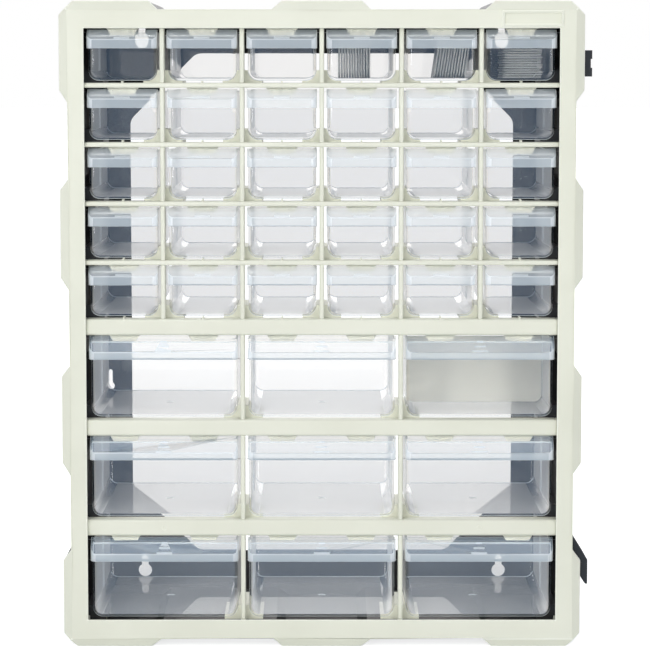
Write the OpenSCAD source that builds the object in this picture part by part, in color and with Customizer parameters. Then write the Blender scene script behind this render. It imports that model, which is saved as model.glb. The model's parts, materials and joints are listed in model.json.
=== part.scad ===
// Parts cabinet: clear drawers in a pale moulded front grid, with a black housing behind it.
// The origin is on the floor under the middle of the cabinet. +Z is up, and drawers open towards -Y.

/* [Cabinet] */
// Depth from the face of the border to the wall side
cabinet_d = 160; // [150:1:200]
// Width of the border beside the drawers
border_side = 18.3; // [17:0.1:24]
// Height of the border above the drawers
border_top = 19.7; // [18:0.1:26]
// Height of the border below the drawers
border_bottom = 20.4; // [18:0.1:26]
// Thickness of the border plate
border_t = 8; // [6:0.5:10]
// Wall of the border's face where it is hollow behind
border_wall = 2.4; // [1.6:0.1:3.2]
// Width of the hollow behind the face, beside and below the opening
hollow_w = 7; // [5:0.5:9]
// Wall of the rim above the opening
rim_t = 2.4; // [1.6:0.1:3]

/* [Outline] */
// How far the tabs stand out past the notches
tab_h = 6.3; // [4:0.1:8]
// How far a tab's face falls back at its outer edge
tab_bevel = 3.5; // [1:0.5:5]
// Flat length of a notch in a side edge
side_notch = 56; // [40:1:64]
// Length of the slope at each end of a side notch
side_slope = 8; // [4:0.5:12]
// Distance between the middles of neighbouring side notches
side_notch_pitch = 136; // [110:1:150]
// Flat length of a notch in the top or bottom edge
end_notch = 83; // [60:1:96]
// Length of the slope at each end of a top or bottom notch
end_slope = 6.3; // [4:0.1:10]
// Distance from the middle of the cabinet to the middle of a top or bottom notch
end_notch_offset = 77; // [65:1:90]
// Cut across each corner of the border
corner_cut = 10; // [6:0.5:14]

/* [Front grid] */
// Depth from the border's face to the back of the crossbars
grid_d = 16; // [15:0.5:20]
// How far the crossbars sit behind the border's face
grid_set_back = 4; // [2:0.5:5]
// How far the uprights sit behind the border's face
upright_set_back = 5; // [3:0.5:6]
// Width of an upright between two drawers
upright_w = 3.4; // [2.4:0.1:5]
// Height of a crossbar between two rows of small drawers
thin_bar_h = 3.6; // [3:0.1:6]
// Height of a crossbar next to a row of large drawers
thick_bar_h = 12; // [8:0.5:16]
// Radius on the front edges of the thin crossbars and the uprights
thin_bar_r = 1.2; // [0.4:0.1:1.6]
// Radius on the front edges of the thick crossbars
thick_bar_r = 1.8; // [0.4:0.1:3]
// Width of a stop tab where it leaves the bar
stop_w = 23; // [16:0.5:30]
// Width of a stop tab at its free edge
stop_end_w = 17; // [10:0.5:24]
// How far a stop tab hangs below the bar
stop_h = 5; // [4:0.1:6]
// Thickness of a stop tab
stop_t = 1.8; // [1.2:0.1:2]
// Gap between a stop tab and the front wall of a shut drawer
stop_clearance = 0.2; // [0.2:0.05:0.5]
// Width of the nub under the middle of a small drawer
nub_w = 1.2; // [0.8:0.1:2]
// Diameter of the round marks on the lowest crossbar
mark_dia = 3; // [2:0.1:5]
// Depth of the round marks
mark_depth = 0.4; // [0.2:0.1:1]

/* [Runners] */
// How far the runners reach behind the grid
runner_d = 45; // [30:1:110]
// Width of a runner under the edge of a drawer
runner_w = 12.5; // [11:0.5:16]
// Thickness of a runner below the top of its bar
runner_t = 1.5; // [1:0.1:2]
// Gap between a drawer and the runner that it rests on
run_clearance = 0.3; // [0.2:0.05:0.5]

/* [Drawers] */
// Number of small drawers in a row
small_cols = 6; // [6]
// Number of rows of small drawers
small_rows = 5; // [5]
// Number of large drawers in a row
large_cols = 3; // [3]
// Number of rows of large drawers
large_rows = 3; // [3]
// Width of the space for a small drawer
small_cell_w = 54.4; // [48:0.1:62]
// Height of the space for a small drawer
small_cell_h = 39.3; // [34:0.1:46]
// Height of the space for a large drawer
large_cell_h = 62; // [56:0.1:70]
// Gap between a drawer and the back panel
back_gap = 9.4; // [4:0.1:20]
// Wall of a drawer
tray_wall = 1.5; // [1.2:0.1:2]
// Gap between a tray and the upright beside it
side_gap = 2.5; // [2:0.1:3]
// Gap below a drawer
under_gap = 1.6; // [1:0.1:2.5]
// Gap between the lowest drawers and the edge of the border under them
sill_gap = 0.4; // [0.3:0.1:1]
// Gap above a drawer's front
top_gap = 1; // [0.6:0.1:1.5]
// How far the rim of a tray lies below the top of its front
rim_drop = 2; // [1:0.1:2.5]
// Radius along the lower edges of a tray
floor_r = 7.5; // [6:0.5:9]
// Radius on the upright corners of a tray
corner_r = 3.5; // [2.5:0.5:5]
// How far a tray's front wall lies behind the border's face
front_wall_set_back = 10; // [9:0.5:11]
// Gap between a drawer's pull and the upright beside it
pull_gap = 1.7; // [1:0.1:2.5]
// Wall of the pull
pull_wall = 1.4; // [1:0.1:1.8]
// Radius on the upright corners of the pull
pull_r = 4; // [2.5:0.5:4.5]
// Height and thickness of the bead on the front wall, inside the pull
bead = 0.9; // [0.6:0.1:1.2]
// How far a grip rib stands out from the slope
grip_proud = 0.5; // [0.3:0.1:0.8]
// Thickness of a grip rib
grip_t = 1.2; // [0.8:0.1:2]
// Diameter of the moulding mark in the floor of a large drawer
gate_dia = 5; // [3:0.5:8]
// Depth of the moulding mark
gate_depth = 0.4; // [0.2:0.1:0.6]

/* [Small drawer pull] */
// How far the pull stands out from the tray
small_pull_d = 8; // [5:0.5:9]
// Height of the pull
small_pull_h = 13.5; // [10:0.1:16]
// Height of the pull's sloping top
small_slope_h = 7; // [4:0.1:9]
// Width of the grip rib on the pull
small_grip_w = 11; // [6:0.5:16]
// Distance from the grip rib down to the end of the slope
small_grip_low = 1.6; // [1:0.1:4]

/* [Large drawer pull] */
// How far the pull stands out from the tray
large_pull_d = 8.5; // [5:0.5:9.5]
// Height of the pull
large_pull_h = 16.6; // [14:0.1:22]
// Height of the pull's sloping top
large_slope_h = 11.2; // [8:0.1:13]
// Width of the lowest grip rib
large_grip_w = 11.2; // [8:0.1:16]
// How much each grip rib is narrower than the one below it
grip_step = 3.5; // [1:0.1:4]
// Distance between grip ribs, down the slope
grip_pitch = 4.1; // [3:0.1:5]
// Distance from the lowest grip rib down to the end of the slope
large_grip_low = 1; // [0.8:0.1:4]

/* [Divider plates] */
// Thickness of a small divider plate
plate_t = 1.2; // [0.8:0.1:1.4]
// How far a small divider plate ends below the rim of its tray
plate_drop = 4.2; // [3.5:0.1:8]
// Number of plates in each stack
plate_count = 12; // [6:1:12]
// Distance between plates in a stack
plate_pitch = 2; // [1.9:0.05:2.1]
// Lean of the plates in the leaning stack, in degrees
plate_lean = 8.5; // [2:0.5:12]
// How far the upright stack stands to the left of the middle of its drawer
upright_stack_shift = 5; // [0:0.5:5.5]
// How far the plates of a stack lie behind the front of their drawer
stack_set_back = 14; // [8:1:60]
// How far neighbouring plates of a stack are out of line
plate_stagger = 1; // [0:0.1:1.5]
// How far the flat pile lies in from the rounded edge of the floor
pile_set_in = 4; // [1:0.5:8]
// Gap between plates in the flat pile
pile_gap = 0.6; // [0.4:0.05:0.6]
// Thickness of the large divider
large_plate_t = 1.5; // [1.2:0.1:2]
// How far the large divider ends below the rim of its tray
large_plate_drop = 5.9; // [3.5:0.1:12]
// Play of a divider plate between its guide ribs and side walls
plate_play = 0.3; // [0.2:0.05:0.5]
// Height of a divider guide rib above the tray's side wall
guide_h = 0.9; // [0.5:0.1:1.2]
// Width of a divider guide rib
guide_w = 1; // [0.8:0.1:1.5]

/* [Housing] */
// Wall of the housing
housing_wall = 2.4; // [2:0.1:3]
// How far the housing stays inside the border's outline
housing_inset = 0.6; // [0.2:0.1:1.5]
// Thickness of the back panel
back_t = 2.6; // [2:0.1:4]
// Width of the back panel beside its opening
window_side = 39.5; // [34:0.5:80]
// Height of the back panel below its opening
window_below = 41; // [40:1:120]
// Height of the back panel above its opening
window_above = 36.5; // [34:0.5:100]
// Cut across each corner of the opening
window_cut = 52; // [40:1:54]
// Radius at the corners of the opening
window_r = 10; // [2:1:15]
// Diameter of a wall keyhole's round part
keyhole_dia = 10.7; // [8:0.1:12]
// Width of a wall keyhole's slot
keyhole_slot_w = 5.4; // [4:0.1:6]
// How far a keyhole's slot reaches above the middle of its round part
keyhole_slot_h = 12.5; // [8:0.1:13]
// Distance from the cabinet's side to a keyhole
keyhole_side = 49; // [40:0.5:54]
// Height of the lower keyholes above the floor
keyhole_low = 25.5; // [22:0.5:30]
// Distance from the cabinet's top down to the upper keyholes
keyhole_top = 27; // [24:0.5:30]
// Diameter of a small keyhole's round part
small_keyhole_dia = 6.4; // [5:0.1:8]
// Width of a small keyhole's slot
small_keyhole_slot_w = 3.2; // [2.4:0.1:4]
// How far a small keyhole's slot reaches above the middle of its round part
small_keyhole_slot_h = 13; // [8:0.1:16]
// Distance from the cabinet's side to a small keyhole
small_keyhole_side = 22.5; // [20:0.5:28]
// Height of the small keyholes above the floor
small_keyhole_z = 174; // [160:1:200]

/* [Side lugs] */
// How far the lugs stand out past the border
lug_out = 6.2; // [4:0.1:10]
// How far the lugs sit behind the border's face
lug_set_back = 12; // [10:1:30]
// Length of the lugs along the cabinet's depth
lug_l = 40; // [20:1:80]
// Height of the block lug
block_lug_h = 19; // [12:1:26]
// Distance from the cabinet's top down to the middle of the block lug
block_lug_top = 45; // [36:1:46]
// Depth of the hollow across the middle of the block lug
block_lug_hollow = 1; // [0.5:0.1:2]
// Height of the hook lug's free end above the floor
hook_lug_low = 45; // [40:1:50]
// Height at which the hook lug starts to lean out
hook_lug_bend = 63; // [60:1:66]
// Height at which the hook lug leaves the housing
hook_lug_high = 86; // [84:1:96]
// Thickness of the hook lug
hook_lug_t = 5; // [3:0.5:6]

/* [Label holder] */
// Width of the bare label holder
label_w = 44; // [30:1:50]
// Height of the label holder
label_h = 11.2; // [8:0.1:14]
// Width of the label holder's raised edge
label_edge = 1.5; // [1:0.1:2]
// How far the raised edge stands up
label_proud = 1.5; // [0.4:0.1:2.5]
// Depth of the label's bed below the border's face
label_bed = 0.6; // [0.2:0.1:1]
// Distance from the cabinet's right side to the label holder
label_side = 16; // [14:1:60]
// Height of the label holder above the drawers' opening
label_rise = 1.3; // [0.5:0.1:2]

/* [Hidden] */
$fn = 48;
// Overlap that keeps cuts clean
slip = 1;
front_y = -cabinet_d / 2;
back_y = cabinet_d / 2;
grid_y = front_y + grid_d;
tray_y = front_y + front_wall_set_back;
rows = small_rows + large_rows;

opening_w = small_cols * small_cell_w + (small_cols - 1) * upright_w;
large_cell_w = (opening_w - (large_cols - 1) * upright_w) / large_cols;
opening_h = small_rows * small_cell_h + large_rows * large_cell_h
    + (small_rows - 1) * thin_bar_h + large_rows * thick_bar_h;
cabinet_w = opening_w + 2 * border_side;
cabinet_h = opening_h + border_bottom + border_top;
opening_z = border_bottom;
opening_top = opening_z + opening_h;

// Rows count from the top, as columns count from the left
function is_small(row) = row <= small_rows;
function cols(row) = is_small(row) ? small_cols : large_cols;
function cell_w(row) = is_small(row) ? small_cell_w : large_cell_w;
function cell_h(row) = is_small(row) ? small_cell_h : large_cell_h;
function bar_h(row) = row < small_rows ? thin_bar_h : row < rows ? thick_bar_h : rim_t;
function cell_top(row) = row == 1 ? opening_top : cell_z(row - 1) - bar_h(row - 1);
function cell_z(row) = cell_top(row) - cell_h(row);
function cell_x(row, col) = -opening_w / 2 + cell_w(row) / 2 + (col - 1) * (cell_w(row) + upright_w);
function edge_x(row, col) = cell_x(row, col) + (cell_w(row) + upright_w) / 2;
// The lowest drawers sit a little deeper, behind the edge of the border
function sink(row) = row == rows ? under_gap - sill_gap : 0;
function floor_z(row) = cell_z(row) - sink(row);

// Each tray and pull, from the space that it runs in
function tray_w(row) = cell_w(row) - 2 * side_gap;
function tray_inner_w(row) = tray_w(row) - 2 * tray_wall;
function tray_z(row) = floor_z(row) + under_gap;
function front_top(row) = cell_top(row) - sink(row) - top_gap;
function tray_top(row) = front_top(row) - rim_drop;
function pull_w(row) = cell_w(row) - 2 * pull_gap;
function pull_d(row) = is_small(row) ? small_pull_d : large_pull_d;
function pull_h(row) = is_small(row) ? small_pull_h : large_pull_h;
function slope_h(row) = is_small(row) ? small_slope_h : large_slope_h;
tray_l = cabinet_d - front_wall_set_back - back_t - back_gap;
floor_inner_r = floor_r - tray_wall;
corner_inner_r = corner_r - tray_wall;
guide_y = tray_y + tray_l / 2;
stop_y = tray_y + tray_wall + stop_clearance;

// Places on the border and the back panel
label_x = cabinet_w / 2 - label_side - label_w / 2;
label_z = opening_top + label_rise + label_h / 2;
keyhole_x = cabinet_w / 2 - keyhole_side;
keyhole_high = cabinet_h - keyhole_top;
small_keyhole_x = cabinet_w / 2 - small_keyhole_side;
window_half_w = cabinet_w / 2 - window_side;
window_high = cabinet_h - window_above;

cream = "#e3e4d6";
black = "#1c1c1e";
clear = [0.82, 0.88, 0.92, 0.45];
grey = "#8b9090";

// A flat X-Z shape, thickened from one depth to another
module slab(y0, y1) {
    translate([0, y1, 0]) rotate([90, 0, 0]) linear_extrude(y1 - y0) children();
}

// A Y-Z section, drawn out across the cabinet
module beam(length) {
    translate([-length / 2, 0, 0]) rotate([90, 0, 90]) linear_extrude(length) children();
}

// A notch below an edge on the u axis, grown by the inset of the outline that it is cut from
module notch(flat, slope, inset) {
    depth = tab_h + inset;
    half = flat / 2 + inset * tan(atan(tab_h / slope) / 2);
    mouth = half + (depth + slip) * slope / tab_h;
    polygon([[-half, -depth], [half, -depth], [mouth, slip], [-mouth, slip]]);
}

// The tabbed outline of the cabinet, which stays on the floor at any inset
module outline(inset) {
    half = cabinet_w / 2 - inset;
    top = cabinet_h - inset;
    cut = corner_cut - inset * (2 - sqrt(2));
    difference() {
        polygon([
            [-half + cut, 0], [half - cut, 0], [half, cut], [half, top - cut],
            [half - cut, top], [-half + cut, top], [-half, top - cut], [-half, cut]
        ]);
        for (side = [-1, 1]) {
            for (step = [-1:1])
                translate([side * cabinet_w / 2, cabinet_h / 2 + step * side_notch_pitch])
                    rotate(-side * 90) notch(side_notch, side_slope, inset);
            translate([side * end_notch_offset, cabinet_h]) notch(end_notch, end_slope, inset);
            translate([side * end_notch_offset, 0]) rotate(180) notch(end_notch, end_slope, inset);
        }
    }
}

// The space that the border leaves for the drawers, grown at the sides and below
module opening_shape(grow) {
    translate([-opening_w / 2 - grow, opening_z - grow])
        square([opening_w + 2 * grow, opening_h + grow]);
}

// The stubs in the hollow of the border that carry the crossbars, the lowest uprights and the lowest runners
module border_stubs() {
    slab(front_y + border_wall - slip / 2, grid_y) {
        for (side = [0, 1]) mirror([side, 0]) {
            for (row = [1:rows - 1])
                translate([opening_w / 2, cell_z(row) - bar_h(row)]) square([hollow_w + slip, bar_h(row)]);
            translate([opening_w / 2, opening_z - hollow_w - slip]) square([hollow_w + slip, hollow_w + slip]);
        }
        for (col = [1:cols(rows) - 1])
            translate([edge_x(rows, col) - upright_w / 2, opening_z - hollow_w - slip])
                square([upright_w, hollow_w + slip]);
    }
}

// The wedge that takes the face of a tab back, along an edge that lies on the u axis
module tab_bevel_wedge(length) {
    run = slip * tab_h / tab_bevel;
    drop = slip * tab_bevel / tab_h;
    translate([0, 0, -length / 2]) linear_extrude(length)
        polygon([[-tab_h - run, -slip], [slip, tab_bevel + drop], [slip, -slip]]);
}

// The stop tabs that hang below the bar over a row
module stop_tabs(row) {
    small_pitch = small_cell_w + upright_w;
    for (col = [1:small_cols])
        translate([cell_x(1, col), 0, cell_top(row)])
            slab(stop_y, stop_y + stop_t)
                polygon([
                    [-stop_w / 2, 0], [stop_w / 2, 0], [stop_end_w / 2, -stop_h], [-stop_end_w / 2, -stop_h]
                ]);
}

module label_bed_shape() {
    square([label_w - 2 * label_edge, label_h - 2 * label_edge], center = true);
}

module label_holder() {
    translate([label_x, 0, label_z])
        slab(front_y - label_proud, front_y + slip) difference() {
            square([label_w, label_h], center = true);
            label_bed_shape();
        }
}

module front_bezel() color(cream) {
    difference() {
        slab(front_y, front_y + border_t) outline(0);
        slab(front_y - slip, front_y + border_t + slip) opening_shape(0);
        slab(front_y + border_wall, front_y + border_t + slip) opening_shape(hollow_w);
        for (side = [-1, 1])
            translate([side * cabinet_w / 2, front_y, cabinet_h / 2])
                mirror([side < 0 ? 1 : 0, 0, 0]) tab_bevel_wedge(cabinet_h + 2 * slip);
        translate([0, front_y, cabinet_h]) rotate([0, -90, 0]) tab_bevel_wedge(cabinet_w + 2 * slip);
        translate([0, front_y, 0]) rotate([0, 90, 0]) tab_bevel_wedge(cabinet_w + 2 * slip);
        translate([label_x, 0, label_z]) slab(front_y - slip, front_y + label_bed) label_bed_shape();
    }
    border_stubs();
    slab(front_y + border_t - slip, grid_y)
        translate([-opening_w / 2, opening_top]) square([opening_w, rim_t]);
    label_holder();
    stop_tabs(1);
}

// A plan from y0 to y1 with its two front corners rounded
module front_rounded(width, y0, y1, radius) {
    half = width / 2;
    translate([-half + radius, y0]) square([width - 2 * radius, y1 - y0]);
    translate([-half, y0 + radius]) square([width, y1 - y0 - radius]);
    for (side = [-1, 1]) translate([side * (half - radius), y0 + radius]) circle(r = radius);
}

// The radius on a bar's front edges, which leaves a little of its front flat
function front_r(width) = min(width > 2 * thin_bar_h ? thick_bar_r : thin_bar_r, width / 2 - 0.2);

// The bar below a row, with the stop tabs of the row under it
module crossbar(row) color(cream) {
    height = bar_h(row);
    nub_h = under_gap - run_clearance;
    difference() {
        union() {
            translate([0, 0, cell_z(row) - height / 2]) beam(opening_w) rotate(90) mirror([0, 1])
                front_rounded(height, front_y + grid_set_back, grid_y, front_r(height));
            if (is_small(row))
                for (col = [1:small_cols])
                    translate([cell_x(row, col) - nub_w / 2, front_y + upright_set_back, cell_z(row) - slip])
                        cube([nub_w, grid_d - upright_set_back, nub_h + slip]);
            stop_tabs(row + 1);
        }
        if (row == rows - 1)
            for (side = [-1, 1])
                translate([side * (edge_x(1, small_cols - 1)), 0, cell_z(row) - height / 2])
                    slab(front_y + grid_set_back - slip, front_y + grid_set_back + mark_depth)
                        circle(d = mark_dia);
    }
}

// The uprights between the drawers of one row
module row_uprights(row) {
    for (col = [1:cols(row) - 1])
        translate([edge_x(row, col), 0, cell_z(row)]) linear_extrude(cell_h(row))
            front_rounded(upright_w, front_y + upright_set_back, grid_y, front_r(upright_w));
}

module small_uprights() color(cream) for (row = [1:small_rows]) row_uprights(row);

module large_uprights() color(cream) for (row = [small_rows + 1:rows]) row_uprights(row);

// A runner's section beside one drawer: it follows the tray's rounded edge, a clearance away
module runner_section() {
    seat = under_gap - run_clearance;
    arc_x = side_gap + floor_r;
    arc_z = under_gap + floor_r;
    translate([0, -runner_t]) square([runner_w, runner_t + seat]);
    difference() {
        square([arc_x, arc_z]);
        translate([arc_x, arc_z]) circle(r = floor_r + run_clearance);
    }
}

// The web that carries a runner, as deep as the bar in front of it
module runner_web(row, width) {
    translate([0, -bar_h(row)]) square([width, bar_h(row) + under_gap + floor_r]);
}

// The runners between the drawers of one row, which grow from the back of the bar below it
module row_runners(row) {
    for (col = [1:cols(row) - 1])
        translate([edge_x(row, col), 0, floor_z(row)]) slab(grid_y, grid_y + runner_d) {
            translate([-upright_w / 2, 0]) runner_web(row, upright_w);
            for (side = [0, 1]) mirror([side, 0]) translate([upright_w / 2, 0]) runner_section();
        }
}

module small_runners() color(cream) for (row = [1:small_rows]) row_runners(row);

module large_runners() color(cream) for (row = [small_rows + 1:rows]) row_runners(row);

// The runners at both sides of every row
module side_runners() color(black)
    for (row = [1:rows], side = [0, 1])
        mirror([side, 0, 0]) translate([-opening_w / 2, 0, floor_z(row)]) slab(grid_y, grid_y + runner_d) {
            translate([-rim_t, 0]) runner_web(row, rim_t);
            runner_section();
        }

// A keyhole: a round hole with a slot above it
module keyhole(dia, slot_w, slot_h) {
    circle(d = dia);
    translate([-slot_w / 2, 0]) square([slot_w, slot_h - slot_w / 2]);
    translate([0, slot_h - slot_w / 2]) circle(d = slot_w);
}

// The block lug, with a hollow across its outer face
module block_lug() {
    x0 = cabinet_w / 2 - housing_inset - housing_wall / 2;
    x1 = cabinet_w / 2 + lug_out;
    third = block_lug_h / 3;
    y0 = front_y + lug_set_back;
    translate([0, 0, cabinet_h - block_lug_top]) slab(y0, y0 + lug_l) polygon([
        [x0, -block_lug_h / 2], [x1, -block_lug_h / 2], [x1, -third / 2], [x1 - block_lug_hollow, -third / 2],
        [x1 - block_lug_hollow, third / 2], [x1, third / 2], [x1, block_lug_h / 2], [x0, block_lug_h / 2]
    ]);
}

// The hook lug, which leaves a notch of the housing and turns down beside the tab below it
module hook_lug() {
    x0 = cabinet_w / 2 - tab_h - housing_inset - housing_wall / 2;
    x1 = cabinet_w / 2 + lug_out;
    lean = (x1 - x0) / (hook_lug_high - hook_lug_bend);
    slab(front_y + lug_set_back, front_y + lug_set_back + lug_l) polygon([
        [x0, hook_lug_high], [x1, hook_lug_bend], [x1, hook_lug_low], [x1 - hook_lug_t / 3, hook_lug_low],
        [x1 - hook_lug_t, hook_lug_low + hook_lug_t], [x1 - hook_lug_t, hook_lug_bend - hook_lug_t / 3],
        [x0, hook_lug_high - hook_lug_t / 3 - hook_lug_t / lean]
    ]);
}

module housing_shell() color(black) {
    slab(front_y + border_t, back_y - back_t) difference() {
        outline(housing_inset);
        difference() {
            outline(housing_inset + housing_wall);
            translate([-cabinet_w / 2, 0]) square([cabinet_w, housing_wall]);
        }
    }
    block_lug();
    hook_lug();
}

// The opening in the back panel: a rectangle with its corners cut off, and each end of a cut rounded
module window_shape() {
    bend = window_r * tan(22.5);
    middle = (window_below + window_high) / 2;
    half_h = (window_high - window_below) / 2;
    for (flip_x = [0, 1], flip_z = [0, 1])
        translate([0, middle]) mirror([flip_x, 0]) mirror([0, flip_z]) {
            long_end = [window_half_w, half_h - window_cut - bend];
            cut_low = [window_half_w, half_h - window_cut] + bend * [-sqrt(0.5), sqrt(0.5)];
            cut_high = [window_half_w - window_cut, half_h] + bend * [sqrt(0.5), -sqrt(0.5)];
            short_end = [window_half_w - window_cut - bend, half_h];
            polygon([[0, 0], [window_half_w, 0], long_end, cut_low, cut_high, short_end, [0, half_h]]);
            translate([window_half_w - window_r, long_end[1]]) circle(r = window_r);
            translate([short_end[0], half_h - window_r]) circle(r = window_r);
        }
}

module back_panel() color(black) slab(back_y - back_t, back_y) difference() {
    outline(housing_inset);
    window_shape();
    for (side = [-1, 1]) {
        for (z = [keyhole_low, keyhole_high])
            translate([side * keyhole_x, z]) keyhole(keyhole_dia, keyhole_slot_w, keyhole_slot_h);
        translate([side * small_keyhole_x, small_keyhole_z])
            keyhole(small_keyhole_dia, small_keyhole_slot_w, small_keyhole_slot_h);
    }
}

// A section with rounded lower corners, open to any height above
module trough_section(width, z0, z1, radius) {
    half = width / 2;
    translate([-half + radius, z0]) square([width - 2 * radius, z1 - z0]);
    translate([-half, z0 + radius]) square([width, z1 - z0 - radius]);
    for (side = [-1, 1]) translate([side * (half - radius), z0 + radius]) circle(r = radius);
}

// A plan with rounded corners
module plan_section(width, y0, y1, radius) {
    half = width / 2;
    translate([-half + radius, y0]) square([width - 2 * radius, y1 - y0]);
    translate([-half, y0 + radius]) square([width, y1 - y0 - 2 * radius]);
    for (side = [-1, 1], y = [y0 + radius, y1 - radius])
        translate([side * (half - radius), y]) circle(r = radius);
}

// A block with rounded lower edges and rounded upright corners
module tray_block(width, y0, y1, z0, z1, edge_r, upright_r) {
    intersection() {
        slab(y0, y1) trough_section(width, z0, z1, edge_r);
        translate([0, 0, z0]) linear_extrude(z1 - z0) plan_section(width, y0, y1, upright_r);
    }
}

// A pair of ribs on each side wall that hold a divider plate
module divider_guides(row) {
    gap = (is_small(row) ? plate_t : large_plate_t) + 2 * plate_play;
    inner = tray_inner_w(row) / 2;
    z0 = tray_z(row) + tray_wall + floor_inner_r;
    for (side = [0, 1], end = [-1, 1])
        mirror([side, 0, 0])
            translate([inner - guide_h, guide_y + end * (gap + guide_w) / 2 - guide_w / 2, z0])
                cube([guide_h + tray_wall / 2, guide_w, tray_top(row) - rim_drop - z0]);
}

// A point on the outside of the pull's slope, measured down from its top edge
function slope_point(row, down, out) =
    let (run = norm([pull_d(row), slope_h(row)]))
    [tray_y - (down * pull_d(row) + out * slope_h(row)) / run,
     front_top(row) - (down * slope_h(row) - out * pull_d(row)) / run];

// One grip rib across the slope of the pull
module grip_rib(row, down, width) {
    beam(width) polygon([
        slope_point(row, down - grip_t / 2, -grip_proud), slope_point(row, down + grip_t / 2, -grip_proud),
        slope_point(row, down + grip_t / 2, grip_proud), slope_point(row, down - grip_t / 2, grip_proud)
    ]);
}

// A section drawn out across the pull, with the pull's upright front corners rounded
module pull_block(row, width, y0, radius) {
    intersection() {
        beam(width) children();
        translate([0, 0, tray_z(row)]) linear_extrude(cell_h(row))
            front_rounded(width, y0, tray_y + tray_wall, radius);
    }
}

// The pull: a sloping hood with closed, rounded ends, open below for the fingers
module pull(row) {
    top = front_top(row);
    y0 = tray_y - pull_d(row);
    low = top - pull_h(row);
    slope_len = norm([pull_d(row), slope_h(row)]);
    roof = pull_wall * slope_len / pull_d(row);
    inner_drop = roof + slope_h(row) * (pull_d(row) - pull_wall) / pull_d(row);
    inner_w = pull_w(row) - 2 * pull_wall;
    difference() {
        pull_block(row, pull_w(row), y0, pull_r) polygon([
            [tray_y + tray_wall, top], [tray_y, top], [y0, top - slope_h(row)], [y0, low],
            [tray_y + tray_wall, low]
        ]);
        pull_block(row, inner_w, y0 + pull_wall, pull_r - pull_wall) polygon([
            [tray_y, top - roof], [y0 + pull_wall, top - inner_drop], [y0 + pull_wall, low - slip],
            [tray_y, low - slip]
        ]);
    }
    translate([-inner_w / 2, tray_y - bead, tray_top(row) - rim_drop - bead])
        cube([inner_w, bead + tray_wall / 2, bead]);
    grips = is_small(row) ? 1 : 3;
    lowest = slope_len - (is_small(row) ? small_grip_low : large_grip_low);
    for (rib = [0:grips - 1])
        grip_rib(row, lowest - rib * grip_pitch,
            (is_small(row) ? small_grip_w : large_grip_w) - rib * grip_step);
}

module drawer(row, col) color(clear) translate([cell_x(row, col), 0, 0]) {
    difference() {
        tray_block(tray_w(row), tray_y, tray_y + tray_l, tray_z(row), tray_top(row), floor_r, corner_r);
        tray_block(tray_inner_w(row), tray_y + tray_wall, tray_y + tray_l - tray_wall,
            tray_z(row) + tray_wall, tray_top(row) + slip, floor_inner_r, corner_inner_r);
        if (!is_small(row))
            translate([0, guide_y, tray_z(row) + tray_wall - gate_depth])
                cylinder(d = gate_dia, h = gate_depth + slip);
    }
    divider_guides(row);
    pull(row);
}

// The outline of a divider plate, with its lower corners rounded to sit in a tray
module plate_outline(row, height) {
    trough_section(tray_inner_w(row) - 2 * plate_play, 0, height, floor_inner_r);
}

// One small plate on its long edge, turned to run along the drawer, with its front end at y = 0
module turned_plate() {
    translate([0, tray_inner_w(1) / 2, 0]) rotate([90, 0, 90])
        translate([0, 0, -plate_t / 2]) linear_extrude(plate_t) plate_outline(1, plate_h);
}

// The plates stand on the floor inside their trays, and reach up to a little below the rim
function plate_floor(row) = tray_z(row) + tray_wall + run_clearance;
plate_h = tray_top(1) - tray_z(1) - tray_wall - plate_drop;
stack_w = (plate_count - 1) * plate_pitch;
stack_y = tray_y + stack_set_back;
// The leaning stack's last plate rests on the right wall of its tray
lean_run = plate_h * sin(plate_lean) + plate_t;
lean_right = tray_inner_w(1) / 2 - plate_play - lean_run;
// The flat pile lies on the flat part of the floor
pile_left = -tray_inner_w(1) / 2 + floor_inner_r + pile_set_in;

module upright_divider_stack() color(grey)
    for (plate = [0:plate_count - 1])
        translate([cell_x(1, 4) - upright_stack_shift - stack_w / 2 + plate * plate_pitch,
            stack_y + plate % 3 * plate_stagger, plate_floor(1)])
            turned_plate();

module leaning_divider_stack() color(grey)
    for (plate = [0:plate_count - 1])
        translate([cell_x(1, 5) + lean_right - stack_w + plate * plate_pitch,
            stack_y + plate % 2 * plate_stagger, plate_floor(1) + plate_t / 2 * sin(plate_lean)])
            rotate([0, plate_lean, 0]) turned_plate();

module flat_divider_pile() color(grey)
    for (plate = [0:plate_count - 1])
        translate([cell_x(1, 6) + pile_left + plate % 3 * plate_stagger / 2, stack_y + plate % 4 * plate_stagger,
            plate_floor(1) + plate_t / 2 + plate * (plate_t + pile_gap)])
            rotate([0, 90, 0]) turned_plate();

module large_divider() color(grey) {
    row = small_rows + 1;
    height = tray_top(row) - tray_z(row) - tray_wall - large_plate_drop;
    translate([cell_x(row, large_cols), 0, plate_floor(row)])
        slab(guide_y - large_plate_t / 2, guide_y + large_plate_t / 2) plate_outline(row, height);
}

front_bezel();
for (row = [1:rows - 1]) crossbar(row);
small_uprights();
large_uprights();
small_runners();
large_runners();
side_runners();
housing_shell();
back_panel();
for (row = [1:rows], col = [1:cols(row)])
    drawer(row, col);
upright_divider_stack();
leaning_divider_stack();
flat_divider_pile();
large_divider();
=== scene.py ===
import json
import math

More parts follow.
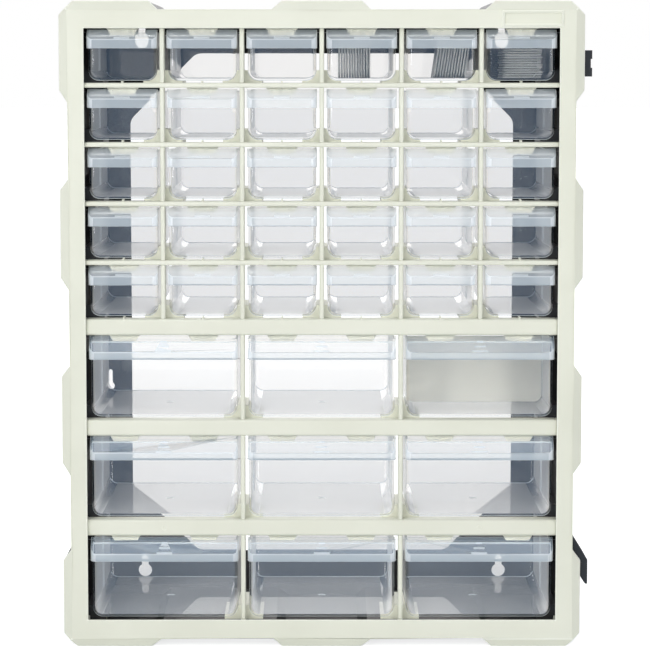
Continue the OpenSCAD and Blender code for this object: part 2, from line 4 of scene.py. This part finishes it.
import bmesh
import bpy
from mathutils import Euler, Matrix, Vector

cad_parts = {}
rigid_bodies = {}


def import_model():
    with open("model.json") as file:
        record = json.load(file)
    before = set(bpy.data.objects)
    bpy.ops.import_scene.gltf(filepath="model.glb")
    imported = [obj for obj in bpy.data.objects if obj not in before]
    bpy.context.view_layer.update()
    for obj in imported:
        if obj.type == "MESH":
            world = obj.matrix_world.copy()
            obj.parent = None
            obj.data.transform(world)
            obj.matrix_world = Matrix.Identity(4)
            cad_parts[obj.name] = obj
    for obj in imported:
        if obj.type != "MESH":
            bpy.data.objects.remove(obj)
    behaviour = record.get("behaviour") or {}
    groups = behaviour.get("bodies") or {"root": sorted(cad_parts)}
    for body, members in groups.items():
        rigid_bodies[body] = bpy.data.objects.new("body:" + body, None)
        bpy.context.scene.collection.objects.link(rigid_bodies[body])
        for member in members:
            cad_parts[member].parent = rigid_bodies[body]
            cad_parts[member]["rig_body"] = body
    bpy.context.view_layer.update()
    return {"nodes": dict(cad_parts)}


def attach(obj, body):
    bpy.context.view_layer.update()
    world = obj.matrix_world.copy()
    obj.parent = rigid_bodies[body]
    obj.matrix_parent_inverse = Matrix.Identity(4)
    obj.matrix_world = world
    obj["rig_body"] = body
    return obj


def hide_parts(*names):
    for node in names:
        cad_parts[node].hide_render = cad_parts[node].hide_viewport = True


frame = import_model()
nodes = frame["nodes"]
MM = 0.001


def rgb(hex_colour):
    """An sRGB hex value as the linear colour that Blender's sockets take."""
    parts = [int(hex_colour[i:i + 2], 16) / 255 for i in (1, 3, 5)]
    return [p / 12.92 if p <= 0.04045 else ((p + 0.055) / 1.055) ** 2.4 for p in parts] + [1.0]


def add(tree, kind, settings=None, **links):
    """One node with its settings and links. A link's underscores are spaces, and i0 is the first input."""
    made = tree.nodes.new(kind)
    for name, value in (settings or {}).items():
        if name in made.inputs:
            made.inputs[name].default_value = value
        else:
            setattr(made, name, value)
    for name, source in links.items():
        socket = int(name[1:]) if name[1:].isdigit() else name.replace("_", " ")
        tree.links.new(source, made.inputs[socket])
    return made


def blank(name):
    """A material with an empty node tree and its output."""
    material = bpy.data.materials.new(name)
    material.use_nodes = True
    material.node_tree.nodes.clear()
    return material, material.node_tree, material.node_tree.nodes.new("ShaderNodeOutputMaterial")


def moulded(name, low, high, roughness, grain_mm, grain_depth, blotch_mm, through=0.0):
    """A moulded plastic: a tone that drifts slightly from place to place, and a fine tool grain. A thin
    unfilled sheet lets a little of what is behind it through."""
    material, tree, out = blank(name)
    where = add(tree, "ShaderNodeTexCoord").outputs["Object"]
    blotch = add(tree, "ShaderNodeTexNoise", {"Scale": 1 / (blotch_mm * MM), "Detail": 3.0}, Vector=where)
    tone = add(tree, "ShaderNodeValToRGB", None, Fac=blotch.outputs["Fac"])
    tone.color_ramp.elements[0].position, tone.color_ramp.elements[1].position = 0.3, 0.7
    tone.color_ramp.elements[0].color, tone.color_ramp.elements[1].color = rgb(low), rgb(high)
    grain = add(tree, "ShaderNodeTexNoise", {"Scale": 1 / (grain_mm * MM), "Detail": 4.0}, Vector=where)
    rough = add(tree, "ShaderNodeMapRange", {"To Min": roughness - 0.05, "To Max": roughness + 0.05},
                Value=grain.outputs["Fac"])
    bump = add(tree, "ShaderNodeBump", {"Strength": grain_depth, "Distance": 0.1 * MM},
               Height=grain.outputs["Fac"])
    body = add(tree, "ShaderNodeBsdfPrincipled", {"IOR": 1.52, "Transmission Weight": through},
               Base_Color=tone.outputs["Color"], Roughness=rough.outputs["Result"],
               Normal=bump.outputs["Normal"])
    tree.links.new(body.outputs["BSDF"], out.inputs["Surface"])
    return material


def either(tree, first, second):
    """The greater of two values, which says yes where one of two switches does."""
    return add(tree, "ShaderNodeMath", {"operation": "MAXIMUM"}, i0=first, i1=second).outputs[0]


def clear_plastic(name, haze, edge_haze, tone, tint, edge_tone="#F6F7F8"):
    """Clear polystyrene, injection moulded. Its walls are thin, so what is behind them shows straight. The
    face where light comes in carries the gloss and the haze of the whole wall: a coat that mirrors as much as
    both faces do, with a slow ripple from the flow of the melt, over a share of pale milk that grows where
    the wall is seen edge on. The milk throws blue light back, so what passes through is warmer by as much.
    The face where it goes out is open, and lamps shine through, so that what lies in a drawer is lit."""
    material, tree, out = blank(name)
    where = add(tree, "ShaderNodeTexCoord").outputs["Object"]
    flow = add(tree, "ShaderNodeTexNoise", {"Scale": 1 / (22 * MM), "Detail": 1.0}, Vector=where)
    ripple = add(tree, "ShaderNodeBump", {"Strength": 0.003, "Distance": 0.4 * MM},
                 Height=flow.outputs["Fac"])
    body = add(tree, "ShaderNodeBsdfPrincipled",
               {"Base Color": rgb(tint), "IOR": 1.01, "Roughness": 0.0, "Transmission Weight": 1.0,
                "Coat Weight": 1.0, "Coat IOR": 1.85, "Coat Roughness": 0.02},
               Coat_Normal=ripple.outputs["Normal"])
    slant = add(tree, "ShaderNodeLayerWeight", {"Blend": 0.5}).outputs["Facing"]
    steep = add(tree, "ShaderNodeMath", {"operation": "POWER"}, i0=slant)
    steep.inputs[1].default_value = 4.0
    shade = add(tree, "ShaderNodeValToRGB", None, Fac=steep.outputs[0])
    shade.color_ramp.elements[0].color, shade.color_ramp.elements[1].color = rgb(tone), rgb(edge_tone)
    shade.color_ramp.elements[1].position = 0.4
    milk = add(tree, "ShaderNodeBsdfDiffuse", None, Color=shade.outputs["Color"])
    depth = add(tree, "ShaderNodeMapRange", {"To Min": haze, "To Max": edge_haze}, Value=steep.outputs[0])
    hazy = add(tree, "ShaderNodeMixShader", None, Fac=depth.outputs["Result"], i1=body.outputs["BSDF"],
               i2=milk.outputs["BSDF"])
    open_way = add(tree, "ShaderNodeBsdfTransparent", {"Color": [0.97 - haze / 4] * 3 + [1.0]})
    shadow = add(tree, "ShaderNodeLightPath").outputs["Is Shadow Ray"]
    inside = add(tree, "ShaderNodeNewGeometry").outputs["Backfacing"]
    clean = add(tree, "ShaderNodeBsdfTransparent", {"Color": rgb("#FFFFFF")})
    wall = add(tree, "ShaderNodeMixShader", None, Fac=shadow, i1=hazy.outputs["Shader"],
               i2=open_way.outputs["BSDF"])
    mix = add(tree, "ShaderNodeMixShader", None, Fac=inside, i1=wall.outputs["Shader"],
              i2=clean.outputs["BSDF"])
    tree.links.new(mix.outputs["Shader"], out.inputs["Surface"])
    return material


CREAM = moulded("cream_abs_satin", "#DFE0D0", "#E6E7D8", 0.42, 0.5, 0.12, 70)
# A paler, smoother cream laid on the rounded edges of the cream parts: a painted highlight along the edges
CREAM_PAINTED_HIGHLIGHT = moulded("cream_abs_painted_edge_highlight", "#F0F1E4", "#F5F6EA", 0.3, 0.5, 0.05, 20)
BLACK = moulded("black_polypropylene_grained", "#0E0E10", "#141417", 0.45, 0.9, 0.5, 40)
GREY = moulded("grey_polypropylene", "#868886", "#929492", 0.4, 0.6, 0.15, 25)
PALE = moulded("natural_polypropylene_sheet", "#DEDED4", "#E4E4DC", 0.5, 0.6, 0.15, 40, 0.2)
CLEAR = clear_plastic("clear_polystyrene", 0.04, 0.6, "#8CB4E2", "#FFFCF8")
HOOD = clear_plastic("clear_polystyrene_hood", 0.32, 0.6, "#E8F4FF", "#FFF6EC")
LARGE_HOOD = clear_plastic("clear_polystyrene_large_hood", 0.2, 0.6, "#C8E4FF", "#FFF5E8")
LIP = clear_plastic("clear_polystyrene_lip", 0.4, 0.7, "#E4F2FC", "#FFF4E8")
LARGE_LIP = clear_plastic("clear_polystyrene_large_lip", 0.48, 0.7, "#E4F2FC", "#FFF2E2")
# Milky white on the drawers' rounded edges, small ribs and corners: a painted highlight for the bright rims
# of the clear plastic
CLEAR_PAINTED_HIGHLIGHT = clear_plastic("clear_polystyrene_painted_edge_highlight", 0.66, 0.85, "#E6EEF4", "#FFFFFF", "#F6FAFC")
# The front face of the trays, with the hoods in front of it
FRONT_WALL = -70.05 * MM
# The rows of small drawers, counted from the top
SMALL_ROWS = 5
# Edges sharper than this, in degrees, are hard ones, and blunter ones belong to a curve
SHARP_ANGLE = 28
# The widest strip of a curve and the widest side of a small rib, in mm
STRIP_W, RIB_W = 4, 2.2
# Faces of a hood that are smaller than this, in square mm, are ribs and corners, and take the milky edge
# material, a painted highlight
SMALL_FACE = 40


def dress(mesh, *materials):
    """Gives a mesh these materials in order, leaving out the ones that are None."""
    mesh.materials.clear()
    for material in filter(None, materials):
        mesh.materials.append(material)


def slim(face, width_mm):
    """A face no wider than this, such as one strip of a rounding or the side of a small rib."""
    return face.calc_area() < width_mm * MM * max(edge.calc_length() for edge in face.edges)


def part_of_flat(face):
    """True where a neighbour lies in the same plane, as where a flat with a hole is held as two faces."""
    return any(len(edge.link_faces) == 2 and edge.calc_face_angle() < math.radians(0.5)
               for edge in face.edges)


def by_index(edges):
    """Edges in the mesh's own order, so that each run of the script makes the same mesh."""
    return sorted(edges, key=lambda edge: edge.index)


def joined_edges(first, pool):
    """The edges of the pool that hang together with the first one."""
    group, ends = {first}, set(first.verts)
    while True:
        more = {edge for edge in pool - group if ends.intersection(edge.verts)}
        if not more:
            return by_index(group)
        group |= more
        ends.update(vert for edge in more for vert in edge.verts)


def round_over(form, done, width_mm, thin, picked):
    """Rounds the hard edges that are picked, run by run, and marks the faces that this makes. A run is as
    wide as its shortest edge allows, but on a thin shell with many short edges they don't hold it back."""
    hard = {edge for edge in form.edges
            if len(edge.link_faces) == 2 and not any(face[done] for face in edge.link_faces)
            and edge.calc_face_angle() > math.radians(SHARP_ANGLE) and picked(edge)}
    while hard:
        form.edges.index_update()
        group = by_index(hard) if thin else joined_edges(by_index(hard)[0], hard)
        made = bmesh.ops.bevel(form, geom=group, offset=width_mm * MM, offset_type="OFFSET", segments=2,
                               profile=0.5, affect="EDGES", clamp_overlap=not thin, material=-1)
        for face in made["faces"]:
            face[done] = 1
        hard = {edge for edge in hard.difference(group) if edge.is_valid}


def softened(node, width_mm, fine_mm, material, rim, hood=None, lip=None):
    """A copy of a solid with its hard edges rounded over, as moulded edges are, and with less on small ribs.
    It stands for the solid. What is in front of a drawer's front wall takes the material of the hood's slope
    or of its lip, and the edges and small ribs take theirs; on the cream parts and the drawers that is a
    paler tone, a painted highlight along the rounded edges."""
    mesh = nodes[node].data.copy()
    form = bmesh.new()
    form.from_mesh(mesh)
    bmesh.ops.remove_doubles(form, verts=form.verts, dist=0.002 * MM)
    bmesh.ops.dissolve_limit(form, angle_limit=math.radians(1), verts=form.verts, edges=form.edges)
    curved = form.faces.layers.int.new("curved")
    done = form.faces.layers.int.new("done")
    for edge in form.edges:
        turn = edge.calc_face_angle() if len(edge.link_faces) == 2 else 0
        if math.radians(1) < turn <= math.radians(SHARP_ANGLE):
            for face in edge.link_faces:
                face[curved] = int(slim(face, STRIP_W) and not part_of_flat(face))
    round_over(form, done, width_mm, bool(hood),
               lambda edge: not any(slim(face, RIB_W) for face in edge.link_faces if not face[curved]))
    round_over(form, done, fine_mm, bool(hood), lambda edge: True)
    dress(mesh, material, rim, hood, lip)
    for face in form.faces:
        face.smooth = bool(face[curved] or face[done])
        face.material_index = int(bool(face[done]))
        if hood and not face[done] and face.calc_center_median().y < FRONT_WALL:
            small = face.calc_area() < SMALL_FACE * MM * MM
            face.material_index = 1 if small else 2 if abs(face.normal.z) > 0.3 else 3
    form.to_mesh(mesh)
    form.free()
    piece = bpy.data.objects.new(node + "_moulded", mesh)
    bpy.context.scene.collection.objects.link(piece)
    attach(piece, nodes[node]["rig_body"])
    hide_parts(node)
    return piece


for name, solid in nodes.items():
    if name.startswith("drawer_"):
        row = int(name.split("_")[1])
        hood, lip = (HOOD, LIP) if row <= SMALL_ROWS else (LARGE_HOOD, LARGE_LIP)
        softened(name, 0.5, 0.2, CLEAR, CLEAR_PAINTED_HIGHLIGHT, hood, lip)
    elif "divider" in name:
        plate = PALE if name == "large_divider" else GREY
        softened(name, 0.06, 0.06, plate, plate)
    # The side runners are cream mouldings beside the black side walls; they take the black plastic as painted
    # shade for the deep shadow they lie in
    elif name in ("housing_shell", "back_panel", "side_runners"):
        dress(solid.data, BLACK)
    elif name.endswith("runners"):
        dress(solid.data, CREAM)
    else:
        softened(name, 0.7, 0.3, CREAM, CREAM_PAINTED_HIGHLIGHT)


def mirrored_ahead(tree, path, along):
    """Picks the rays that a mirror sends to the front of the room, which is dimmer. A ray through clear
    plastic counts as glossy too, and isn't one of them."""
    mirror = add(tree, "ShaderNodeMath", {"operation": "SUBTRACT", "use_clamp": True},
                 i0=path["Is Glossy Ray"], i1=path["Is Transmission Ray"])
    ahead = add(tree, "ShaderNodeMath", {"operation": "LESS_THAN"}, i0=along)
    ahead.inputs[1].default_value = 0.0
    both = add(tree, "ShaderNodeMath", {"operation": "MULTIPLY"}, i0=mirror.outputs[0], i1=ahead.outputs[0])
    return both.outputs[0]


def studio():
    """A pale floor, a white surround and soft lamps. The floor and the surround are white to the camera and
    through clear plastic, and a mirror shows a paler sky overhead than in front."""
    floor_mesh = bpy.data.meshes.new("floor")
    form = bmesh.new()
    bmesh.ops.create_grid(form, x_segments=1, y_segments=1, size=30)
    form.to_mesh(floor_mesh)
    form.free()
    floor = bpy.data.objects.new("floor", floor_mesh)
    bpy.context.scene.collection.objects.link(floor)
    material, tree, out = blank("pale_floor")
    path = add(tree, "ShaderNodeLightPath").outputs
    spot = add(tree, "ShaderNodeNewGeometry").outputs["Position"]
    along = add(tree, "ShaderNodeSeparateXYZ", None, Vector=spot).outputs["Y"]
    back = add(tree, "ShaderNodeMapRange", {"From Min": 0.3, "From Max": 2.5, "To Min": 0.18, "To Max": 0.48},
               Value=along)
    near = add(tree, "ShaderNodeMath", {"operation": "MULTIPLY"}, i0=back.outputs["Result"],
               i1=either(tree, path["Is Glossy Ray"], path["Is Transmission Ray"]))
    glow = add(tree, "ShaderNodeMapRange", {"To Max": 0.75}, Value=path["Is Camera Ray"])
    light = add(tree, "ShaderNodeEmission", {"Color": rgb("#FFFFFF")},
                Strength=either(tree, near.outputs[0], glow.outputs[0]))
    matt = add(tree, "ShaderNodeBsdfDiffuse", {"Color": rgb("#EDEDEC")})
    both = add(tree, "ShaderNodeAddShader", None, i0=matt.outputs["BSDF"], i1=light.outputs["Emission"])
    foot = add(tree, "ShaderNodeMapRange", {"From Min": -0.8, "From Max": -0.35}, Value=along)
    ground = add(tree, "ShaderNodeValToRGB", None, Fac=foot.outputs["Result"])
    ground.color_ramp.elements[0].color, ground.color_ramp.elements[1].color = rgb("#98ABC2"), rgb("#D2E2F2")
    shade = add(tree, "ShaderNodeEmission", {"Strength": 1.25}, Color=ground.outputs["Color"])
    floor_mix = add(tree, "ShaderNodeMixShader", None, Fac=mirrored_ahead(tree, path, along),
                    i1=both.outputs["Shader"], i2=shade.outputs["Emission"])
    tree.links.new(floor_mix.outputs["Shader"], out.inputs["Surface"])
    dress(floor_mesh, material)

    world = bpy.data.worlds.new("white_room")
    world.use_nodes = True
    bpy.context.scene.world = world
    tree = world.node_tree
    tree.nodes.clear()
    path = add(tree, "ShaderNodeLightPath").outputs
    aim = add(tree, "ShaderNodeTexCoord").outputs["Generated"]
    aim = add(tree, "ShaderNodeSeparateXYZ", None, Vector=aim).outputs
    height = aim["Z"]
    sky = add(tree, "ShaderNodeValToRGB", None, Fac=height)
    sky.color_ramp.elements[0].position, sky.color_ramp.elements[1].position = 0.1, 0.8
    sky.color_ramp.elements[0].color, sky.color_ramp.elements[1].color = rgb("#94A8BE"), rgb("#C4D2E4")
    lit = add(tree, "ShaderNodeBackground", {"Color": rgb("#F4F6FA"), "Strength": 0.55})
    high = add(tree, "ShaderNodeMapRange", {"From Min": 0.4, "From Max": 0.9, "To Min": 1.0, "To Max": 1.2},
               Value=height)
    mirrored = add(tree, "ShaderNodeBackground", None, Color=sky.outputs["Color"],
                   Strength=high.outputs["Result"])
    dim = add(tree, "ShaderNodeMapRange", {"From Min": 0.01, "From Max": 0.1, "To Min": 1.0, "To Max": 0.82},
              Value=height)
    seen = add(tree, "ShaderNodeBackground", {"Color": rgb("#FFFFFF")},
               Strength=either(tree, path["Is Camera Ray"], dim.outputs["Result"]))
    bounced = either(tree, path["Is Glossy Ray"], path["Is Transmission Ray"])
    clear = either(tree, path["Is Camera Ray"], bounced)
    plain = add(tree, "ShaderNodeMixShader", None, Fac=clear, i1=lit.outputs[0], i2=seen.outputs[0])
    mix = add(tree, "ShaderNodeMixShader", None, Fac=mirrored_ahead(tree, path, aim["Y"]),
              i1=plain.outputs[0], i2=mirrored.outputs[0])
    out = add(tree, "ShaderNodeOutputWorld")
    tree.links.new(mix.outputs[0], out.inputs["Surface"])

    lamps = (("key", (-1.0, -2.2, 1.2), 1.3, 1.3, 15), ("right_strip", (1.0, -2.2, 0.4), 0.35, 1.5, 12),
             ("left_strip", (-1.0, -2.2, 0.3), 0.35, 1.4, 10), ("over", (0.0, -0.9, 1.7), 1.1, 1.1, 1.5),
             ("behind", (0.0, 1.8, 1.4), 1.6, 1.6, 12))
    for name, place, width, height, power in lamps:
        lamp = bpy.data.lights.new(name, "AREA")
        lamp.shape, lamp.size, lamp.size_y, lamp.energy = "RECTANGLE", width, height, power
        holder = bpy.data.objects.new(name, lamp)
        holder.location = place
        holder.rotation_euler = (Vector((0, 0, 0.24)) - Vector(place)).to_track_quat("-Z", "Y").to_euler()
        bpy.context.scene.collection.objects.link(holder)


def photo_camera():
    """A level product shot from slightly above the middle, with a little lens shift."""
    data = bpy.data.cameras.new("photo")
    data.sensor_width = 36
    data.lens = 133.97
    data.shift_x, data.shift_y = 0.005, -0.0577
    holder = bpy.data.objects.new("photo", data)
    holder.location = (0, -1.83, 0.42)
    holder.rotation_euler = Euler((math.radians(90 - 5.033), 0, 0))
    data.clip_start, data.clip_end = 0.05, 30
    bpy.context.scene.collection.objects.link(holder)
    bpy.context.scene.camera = holder


photo_camera()
studio()
bpy.context.scene.view_settings.view_transform = "Standard"
